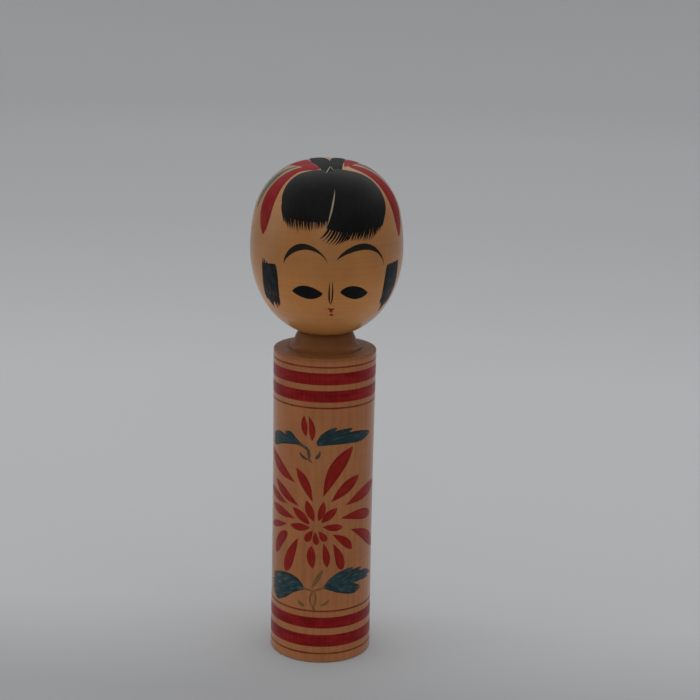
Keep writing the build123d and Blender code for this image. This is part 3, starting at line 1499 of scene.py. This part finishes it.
    def knot(self) -> None:
        """Brushes the two lobes of the tied hair over the crown, with a slit of bare wood between them, dyed
        paler and greyer as a painted highlight.
        """
        brush, edge = Brush(self.skin), self.crown_edge
        brush.wash(
            edge(Bow((-2.6, -17.6), (-6.6, 9.2), 3.6, 0.52, 0.55)),
            edge(Bow((-2.1, -18.0), (-4.8, 9.0), -3.6, 0.42, 0.55)),
        )
        brush.wash(
            edge(Bow((-1.9, -18.0), (5.0, 8.6), 1.2, 0.66, 1.5)),
            edge(Bow((5.2, -17.4), (5.4, 8.8), -2.4, 0.7, 0.7)),
            lift=0.01,
        )
        self.keep(brush, "crown_knot", self.knot_ink_and_sheen)
        fork = (0.0, -13.6)
        brush.stroke(edge(Bow(fork, (-2.4, -19.4), 0.2), 2), 0.5, Sweep.LENS, 0.03)
        brush.stroke(edge(Bow(fork, (1.2, -17.2)), 2), 0.34, Sweep.LENS, 0.04)
        self.keep(brush, "knot_slit", self.slit)

    def behind(self, brush: Brush, *ribbons: tuple[Sequence[Place], float]) -> None:
        """Brushes ribbons down the back of the head, first on the left and then on the right.

        Args:
            brush: The brush that draws them.
            ribbons: The places on the right side, and the width in mm, of each ribbon.
        """
        for side in (-1.0, 1.0):
            for places, width in ribbons:
                mirrored = [(side * across, up) for across, up in places]
                brush.stroke(self.edge(mirrored), width, Sweep.RIBBON)

    def ribbons(self) -> None:
        """Brushes the red and green ribbons that fall from the knot on both sides."""
        brush = Brush(self.skin)
        # the loops that stick out of the knot, as seen from above
        for upper, lower in (
            (Bow((-5.5, -14.4), (-17.6, 3.6), -4.1, 0.68), Bow((-5.9, -15.4), (-17.9, 3.4), 2.7, 0.47, 0.6)),
            (Bow((6.3, -12.4), (13.6, 1.8), 3.5, 0.65), Bow((6.5, -12.8), (14.0, 1.6), -1.8, 0.52, 0.6)),
        ):
            brush.wash(self.crown_edge(upper), self.crown_edge(lower))
        # the long ends that fall beside the forelock
        for outer, inner in (
            (Bow((-17, 68.8), (-60, 15), -32.4, 0.57, 0.65), Bow((-17, 68.0), (-59, 15), -19.8, 0.40, 2.2)),
            (Bow((37, 70.4), (65.4, 13), 27.6, 0.48, 0.7), Bow((37, 69.6), (64.6, 13), 9.7, 0.345, 2.2)),
        ):
            self.fill(brush, outer, inner)
        self.behind(
            brush,
            (((100, 66), (106, 52), (107, 36), (104, 19)), 7.6),
            (((150, 66), (152, 54), (150, 38), (146, 24)), 7.2),
        )
        self.keep(brush, "red_ribbons", self.red)
        long = Bow((-60, 67.2), (-79.6, 31), -15.6, 0.48, 0.85), Bow((-60, 66.6), (-79, 31), -6.9, 0.33, 1.6)
        self.fill(brush, *long)
        brush.stroke(self.edge(Bow((62, 72), (90, 46), 8.9, 0.55), 5), 3.0, Sweep.RIBBON)
        self.behind(brush, (((126, 67), (129, 56), (130, 42), (128, 27)), 3.0))
        self.keep(brush, "green_ribbons", self.green)

    def sidelocks(self) -> None:
        """Brushes the lock in front of each ear with a nearly dry flat brush."""
        brush = Brush(self.skin)
        left = (
            Bow((-59.2, -5.6), (-60.6, -39.4), -4.5, 0.8, 0.6),
            Bow((-44.4, -4.4), (-49.6, -42.4), 3.3, 0.45, 0.6),
        )
        right = Bow((47.2, -4.8), (53.0, -45.0), -3.2, 0.4), Bow((62.8, -3.6), (58.6, -43.0), 6.2, 0.64, 0.9)
        self.fill(brush, *left, Fray(13, 1.4, 0.2, 0.0, 0.9))
        for across, tip in ((-58.0, -1.6), (-56.0, -1.8), (-53.4, -3.2)):
            places = ((across, -7), (across, (tip - 7) / 2), (across + 0.8, tip))
            brush.stroke(self.edge(places), 1.0, Sweep.HAIR, 0.01)
        self.keep(brush, "left_sidelock", self.side)
        self.fill(brush, *right, Fray(11, 1.4, 0.26, 0.0, 0.9))
        self.keep(brush, "right_sidelock", self.side)

    def features(self) -> None:
        """Draws brows, eyes, nose and mouth."""
        brush = Brush(self.skin, spacing=0.8)
        brows = (
            (
                Bow((-36.5, -2.8), (-3.2, -1.0), 14.6, 0.46, 0.6),
                Bow((-36.3, -3.0), (-3.3, -1.2), 10.6, 0.53, 0.57),
            ),
            (Bow((3.6, 1.7), (42.4, -4.2), 14.2, 0.52, 0.6), Bow((3.8, 1.5), (42.2, -4.4), 10.1, 0.58, 0.57)),
        )
        eyes = (
            (
                Bow((-30.8, -23.4), (-6.4, -23.7), 5.4, 0.44, 0.85),
                Bow((-30.7, -23.6), (-6.5, -23.9), -4.8, 0.57, 0.65),
            ),
            (Bow((7.0, -22.7), (30.4, -24.4), 5.3, 0.42), Bow((7.1, -22.9), (30.3, -24.6), -4.8, 0.56, 0.65)),
        )
        nose = (
            (Bow((0.0, -32.5), (-1.2, -14.0), 1.0, 0.3).places(4), 0.78, Sweep.CURL),
            (Bow((0.0, -32.5), (0.6, -13.0), -0.9, 0.35).places(4), 0.70, Sweep.CURL, 0.01),
        )
        mouth = (
            (Bow((-2.5, -36.2), (3.6, -36.4), -0.4).places(2), 0.95, Sweep.PAD),
            (Bow((0.5, -36.8), (1.0, -39.7)).places(2), 1.5, Sweep.LENS, 0.01),
            (Bow((-0.5, -42.4), (3.4, -42.4), 0.7).places(2), 1.35, Sweep.LENS),
        )
        for name, pairs, dye in (("brows", brows, self.brow), ("eyes", eyes, self.eye)):
            for over, under in pairs:
                self.fill(brush, over, under)
            self.keep(brush, name, dye)
        self.draw(brush, "nose", self.line, nose)
        self.draw(brush, "mouth", self.lips, mouth)

    def build(self) -> None:
        """Paints the head from the crown down."""
        self.forelock()
        self.hairs()
        self.knot()
        self.ribbons()
        self.sidelocks()
        self.features()


# ---------------------------------------------------------------- studio


@dataclass(frozen=True)
class Lamp:
    """A soft square lamp that faces the doll."""

    name: str
    place: Point
    size: float
    power: float
    aim: Point = (0.0, 0.0, 0.12)

    def build(self) -> None:
        """Hangs the lamp."""
        light = bpy.data.lights.new(self.name, "AREA")
        light.shape, light.size, light.energy = "SQUARE", self.size, self.power
        lamp = bpy.data.objects.new(self.name, light)
        lamp.location = self.place
        lamp.rotation_euler = (Vector(self.aim) - Vector(self.place)).to_track_quat("-Z", "Y").to_euler()
        bpy.context.scene.collection.objects.link(lamp)


@dataclass
class Studio:
    """A pale sweep, soft lamps and the camera."""

    distance: float = 0.765
    eye_height: float = 0.3424
    walk: float = 7.05
    turn: float = 0.895
    dip: float = 14.07
    roll: float = 1.20
    lens: float = 84.9
    sensor: float = 36.0
    clip: Place = (0.05, 20.0)
    bowl_radius: float = 5.0
    bowl_height: float = 2.6
    bowl_round: float = 2.2
    bowl_sides: int = 160
    bowl_steps: int = 32
    floor_rim: float = 0.1
    # grey of the paper by depth: darker towards the front and the far rim as painted shade, brightest just
    # behind the doll as painted light
    paper: tuple[tuple[float, int], ...] = (
        (-0.4, 138), (-0.06, 150), (0.0, 165), (0.04, 172), (0.5, 176),
        (0.8, 171), (1.2, 168), (2.1, 171), (3.3, 170), (5.0, 156),
    )
    paper_roughness: float = 0.95
    paper_shine: float = 0.1
    ambient: float = 1.0
    air: tuple[float, float, float, float] = (0.95, 0.97, 1.0, 1.0)
    lamps: tuple[Lamp, ...] = (
        Lamp("lamp_top", (0.0, 0.2, 1.7), 1.4, 4.0),
        Lamp("lamp_left", (-1.30, -0.32, 0.50), 0.8, 3.2),
        Lamp("lamp_right", (1.20, -0.50, 0.80), 1.2, 1.4),
        Lamp("lamp_front", (0.22, -1.8, 0.62), 1.0, 4.3),
    )

    def backdrop(self) -> None:
        """Bends paper up into a wall all the way round the floor."""
        deselect()
        bpy.ops.mesh.primitive_circle_add(vertices=self.bowl_sides, radius=self.bowl_radius, fill_type="NGON")
        bowl = bpy.context.active_object
        bowl.name = "studio_bowl"
        in_edit(
            bowl,
            lambda: bpy.ops.mesh.select_mode(type="EDGE"),
            lambda: bpy.ops.mesh.extrude_edges_move(
                TRANSFORM_OT_translate={"value": (0, 0, self.bowl_height)}
            ),
        )
        finish_modifier(bowl, "BEVEL", width=self.bowl_round, segments=self.bowl_steps, limit_method="ANGLE")
        for face in bowl.data.polygons:
            face.select = len(face.vertices) > 4
        hold(bowl)
        bpy.ops.object.mode_set(mode="EDIT")
        bpy.ops.mesh.inset(thickness=self.floor_rim)
        bpy.ops.mesh.select_all(action="SELECT")
        bpy.ops.mesh.normals_make_consistent(inside=True)
        bpy.ops.object.mode_set(mode="OBJECT")
        bpy.ops.object.shade_smooth()
        bowl.data.materials.append(self.paper_material())

    def paper_material(self) -> bpy.types.Material:
        """Gives the pale paper, graded from front to back with painted shade and painted light.

        Returns:
            The paper's material.
        """
        paper = bpy.data.materials.new("studio_paper_painted_shade")
        paper.use_nodes = True
        w = Wiring(paper.node_tree)
        back = w.parts(w.node("ShaderNodeTexCoord").outputs["Object"])[1]
        first, last = self.paper[0][0], self.paper[-1][0]
        grade = w.node("ShaderNodeValToRGB", {0: w.maths("DIVIDE", w.less(back, first), last - first)})
        ramp = grade.color_ramp
        while len(ramp.elements) < len(self.paper):
            ramp.elements.new(0.5)
        for stop, (depth, grey) in zip(ramp.elements, self.paper):
            stop.position = (depth - first) / (last - first)
            stop.color = rgba((grey, grey, grey))
        body = paper.node_tree.nodes["Principled BSDF"]
        w.feed(body.inputs["Base Color"], grade.outputs[0])
        w.feed(body.inputs["Roughness"], self.paper_roughness)
        w.feed(body.inputs["Specular IOR Level"], self.paper_shine)
        return paper

    def world(self) -> None:
        """Fills the room with a little even light."""
        world = bpy.data.worlds.new("studio_room")
        world.use_nodes = True
        sky = world.node_tree.nodes["Background"]
        sky.inputs["Color"].default_value = self.air
        sky.inputs["Strength"].default_value = self.ambient
        bpy.context.scene.world = world

    def camera(self) -> None:
        """Stands the camera a step to the right of the flower, looking slightly down."""
        lens = bpy.data.cameras.new("camera")
        lens.lens, lens.sensor_width = self.lens, self.sensor
        lens.clip_start, lens.clip_end = self.clip
        camera = bpy.data.objects.new("camera", lens)
        walk = math.radians(self.walk)
        camera.location = (self.distance * math.sin(walk), -self.distance * math.cos(walk), self.eye_height)
        facing = (
            Matrix.Rotation(walk - math.radians(self.turn), 3, "Z")
            @ Matrix.Rotation(math.radians(90.0 - self.dip), 3, "X")
            @ Matrix.Rotation(math.radians(self.roll), 3, "Z")
        )
        camera.rotation_euler = facing.to_euler()
        bpy.context.scene.collection.objects.link(camera)
        bpy.context.scene.camera = camera

    def build(self) -> None:
        """Sets the whole studio."""
        self.backdrop()
        self.world()
        self.camera()
        for lamp in self.lamps:
            lamp.build()
        bpy.context.scene.view_settings.view_transform = "Standard"


def main() -> None:
    """Dresses the turned wood, paints it and sets the studio."""
    logging.basicConfig(level=logging.INFO, format="%(message)s")
    for name, wood in (("body", BODY_WOOD), ("head", HEAD_WOOD)):
        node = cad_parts[name]
        for slot in node.material_slots:
            slot.material = wood.material()
    _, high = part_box("head")
    BodyPaint().build()
    HeadPaint(HeadSkin(top=high.z / MM)).build()
    Studio().build()


if __name__ == "__main__":
    main()
